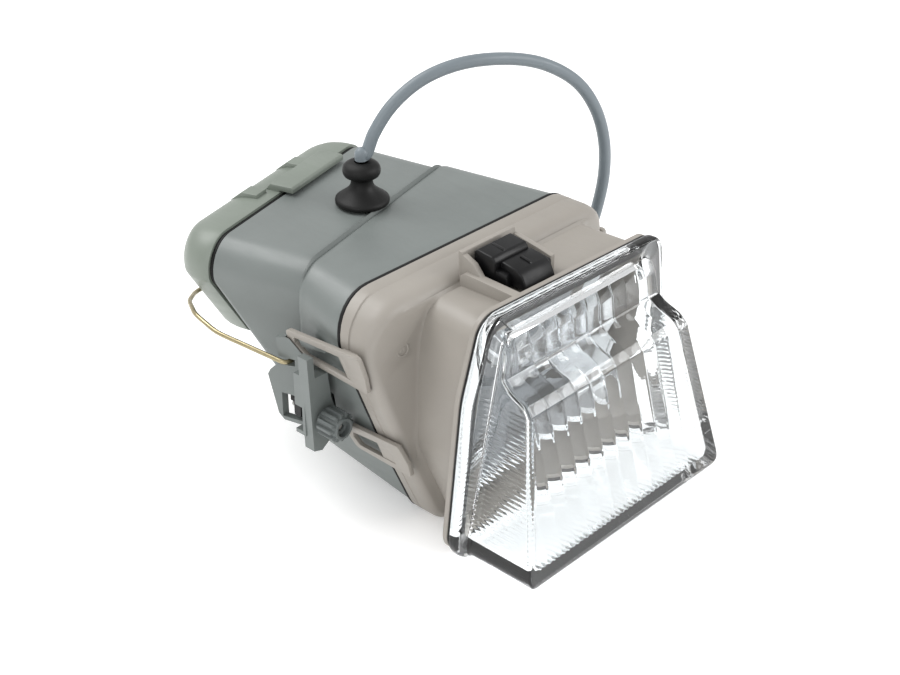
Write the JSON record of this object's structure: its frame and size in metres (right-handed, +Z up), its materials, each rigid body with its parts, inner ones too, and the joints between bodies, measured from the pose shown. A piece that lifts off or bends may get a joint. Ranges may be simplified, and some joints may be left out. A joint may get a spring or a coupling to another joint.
{
  "type": "fog light",
  "caption": "Fog light with a deep fluted glass lens, plastic bezel and housing, aimable reflector, hooked rear cover with wire bail, and a short sheathed cable.",
  "frame": {"origin": "centre of the lamp's box, without its cable, on the surface it stands on", "axes": "+Z up, -Y the way the lens faces, +X to the right as seen from in front of the lens"},
  "size_m": [0.1956, 0.2066, 0.1579],
  "materials": {
    "housing_plastic": "grey moulded plastic, satin",
    "cover_plastic": "greenish grey moulded plastic, satin",
    "bezel_plastic": "warm light grey moulded plastic, fine grain",
    "black_plastic": "black moulded plastic",
    "black_rubber": "black rubber",
    "lens_glass": "clear pressed glass with fine flutes",
    "reflector_chrome": "bright vacuum-metallised",
    "plated_wire": "yellow-passivated spring wire",
    "zinc_steel": "zinc-plated",
    "contact_brass": "tinned brass contact",
    "cable_sheath": "blue-grey flexible sheath",
    "lead_insulation": "black insulation"
  },
  "bodies": {
    "lamp": {"adjuster_bracket": "housing_plastic", "bulb_lead": "lead_insulation", "cable": "cable_sheath", "cable_grommet": "black_rubber", "connector_boot": "black_rubber", "connector_shell": "black_plastic", "earth_lead": "lead_insulation", "front_bezel": "bezel_plastic", "housing": "housing_plastic", "housing_gasket": "black_rubber", "lens": "lens_glass", "lens_seal": "black_rubber", "mounting_clip": "black_plastic", "pin_earth": "contact_brass", "pin_live": "contact_brass"},
    "adjuster": {"adjuster_knob": "housing_plastic", "adjuster_screw": "zinc_steel", "adjuster_retainer": "zinc_steel"},
    "adjuster_nut": {"adjuster_nut": "black_plastic"},
    "reflector": {"reflector": "reflector_chrome", "reflector_arm": "black_plastic", "pivot_pin_left": "zinc_steel", "pivot_pin_right": "zinc_steel", "bulb_holder": "zinc_steel", "bulb_base": "zinc_steel", "bulb_glass": "lens_glass", "bulb_shield": "reflector_chrome", "bulb_terminal": "contact_brass"},
    "bulb_clip": {"bulb_spring_clip": "plated_wire"},
    "bail": {"bail_wire": "plated_wire"},
    "rear_cover": {"rear_cover": "cover_plastic", "rear_cover_seal": "black_rubber"}
  },
  "joints": [
    {"name": "adjuster_turn", "type": "hinge", "parent": "lamp", "child": "adjuster", "pos_m": [-0.06511, -0.01359, 0.04386], "axis": [0, 1, 0], "range_deg": [-480, 480]},
    {"name": "nut_travel", "type": "slide", "parent": "lamp", "child": "adjuster_nut", "axis": [0, 1, 0], "range_m": [-0.0018, 0.0018]},
    {"name": "reflector_tilt", "type": "hinge", "parent": "lamp", "child": "reflector", "pos_m": [0.0147, -0.00929, 0.08256], "axis": [1, 0, 0], "range_deg": [-2.7, 2.7]},
    {"name": "bulb_clip_swing", "type": "hinge", "parent": "reflector", "child": "bulb_clip", "pos_m": [0.00626, 0.02308, 0.06536], "axis": [1, 0, 0], "range_deg": [0, 75]},
    {"name": "bail_swing", "type": "hinge", "parent": "lamp", "child": "bail", "pos_m": [-0.00018, 0.02745, 0.06536], "axis": [-0.9677, -0.2521, 0], "range_deg": [0, 66]},
    {"name": "rear_cover_open", "type": "hinge", "parent": "lamp", "child": "rear_cover", "pos_m": [-0.00985, 0.06456, 0.10268], "axis": [0.9677, 0.2521, 0], "range_deg": [0, 17]}
  ],
  "couplings": [
    {"joint": "nut_travel", "follows": "adjuster_turn", "m_per_rad": 0.00019894},
    {"joint": "reflector_tilt", "follows": "adjuster_turn", "ratio": 0.0056012},
    {"joint": "rear_cover_open", "follows": "bail_swing", "ratio": 0.25}
  ]
}
